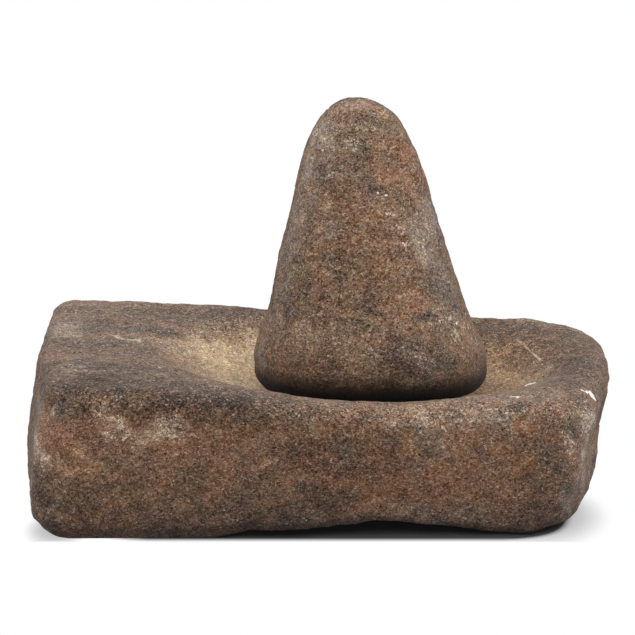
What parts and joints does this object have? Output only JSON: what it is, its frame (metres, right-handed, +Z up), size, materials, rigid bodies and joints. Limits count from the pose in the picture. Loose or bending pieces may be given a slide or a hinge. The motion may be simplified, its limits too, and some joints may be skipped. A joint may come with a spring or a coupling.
{
  "type": "molcajete",
  "caption": "Stone mortar and pestle: a thick legless slab with a broad worn dish, and a conical hand-stone that stands in it for grinding.",
  "frame": {"origin": "middle of the slab's plan box, on the surface that the slab stands on", "axes": "+X along the slab to its thinner right end, +Y from the grinder's side to the far side, +Z up"},
  "size_m": [0.254, 0.1698, 0.1698],
  "materials": {
    "slab_stone": "rough, granular, worn smoother in the dish",
    "pestle_stone": "granular, worn by the hand"
  },
  "bodies": {
    "mortar": {"mortar_slab": "slab_stone"},
    "pestle": {"pestle": "pestle_stone"}
  },
  "joints": [
    {"name": "pestle_lift", "type": "slide", "parent": "mortar", "child": "pestle", "axis": [0, 0, 1], "range_m": [0, 0.12]}
  ]
}
